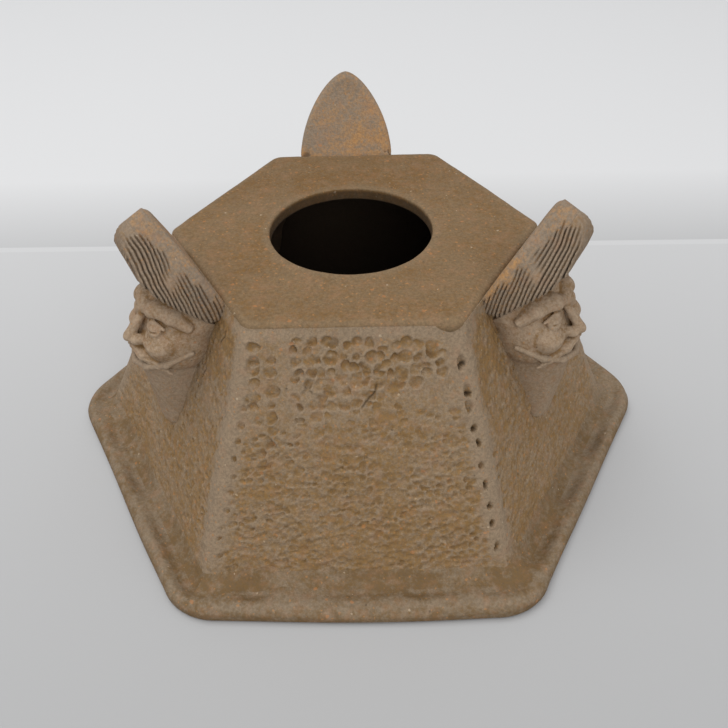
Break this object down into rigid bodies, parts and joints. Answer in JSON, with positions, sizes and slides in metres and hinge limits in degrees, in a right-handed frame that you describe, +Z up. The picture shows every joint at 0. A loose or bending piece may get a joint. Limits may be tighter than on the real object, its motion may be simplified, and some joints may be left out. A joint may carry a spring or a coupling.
{
  "type": "flower frog",
  "caption": "Slab-built hexagonal stoneware flower frog: a hollow tapered body on a wider foot slab, with a round stem hole in its flat top and three leaning lugs with bearded heads.",
  "frame": {"origin": "on the surface it stands on, under the centre of the stem hole", "axes": "+Z up through the stem hole, +X across two opposite corners of the foot, -Y towards the tooled front wall"},
  "size_m": [0.1466, 0.13, 0.0745],
  "materials": {
    "foot_clay": "unglazed stoneware, thumb-pressed, coarse brown grog",
    "top_clay": "unglazed stoneware, smoothed, orange and brown grog flecks",
    "wall_clay": "unglazed stoneware, tooled with scale-like pits, ochre in the pits",
    "inner_clay": "unglazed stoneware, left rough inside",
    "tongue_clay": "unglazed stoneware, smoothed, orange mottling",
    "hair_clay": "unglazed stoneware, combed",
    "mask_clay": "unglazed stoneware, burnished by hand",
    "beard_clay": "unglazed stoneware, smoothed"
  },
  "bodies": {
    "root": {"foot_slab": "foot_clay", "foot_fillet": "foot_clay", "top_slab": "top_clay", "wall_front": "wall_clay", "wall_front_right": "wall_clay", "wall_back_right": "wall_clay", "wall_back": "wall_clay", "wall_back_left": "wall_clay", "wall_front_left": "wall_clay", "seam_coil_1": "inner_clay", "seam_coil_2": "inner_clay", "seam_coil_3": "inner_clay", "seam_coil_4": "inner_clay", "seam_coil_5": "inner_clay", "seam_coil_6": "inner_clay", "tongue_right": "tongue_clay", "tongue_back": "tongue_clay", "tongue_left": "tongue_clay", "hair_right": "hair_clay", "hair_back": "hair_clay", "hair_left": "hair_clay", "head_right": "mask_clay", "head_back": "mask_clay", "head_left": "mask_clay", "brow_right": "mask_clay", "brow_back": "mask_clay", "brow_left": "mask_clay", "eyes_right": "mask_clay", "eyes_back": "mask_clay", "eyes_left": "mask_clay", "nose_right": "mask_clay", "nose_back": "mask_clay", "nose_left": "mask_clay", "cheeks_right": "mask_clay", "cheeks_back": "mask_clay", "cheeks_left": "mask_clay", "moustache_right": "mask_clay", "moustache_back": "mask_clay", "moustache_left": "mask_clay", "beard_right": "beard_clay", "beard_back": "beard_clay", "beard_left": "beard_clay"}
  },
  "joints": []
}
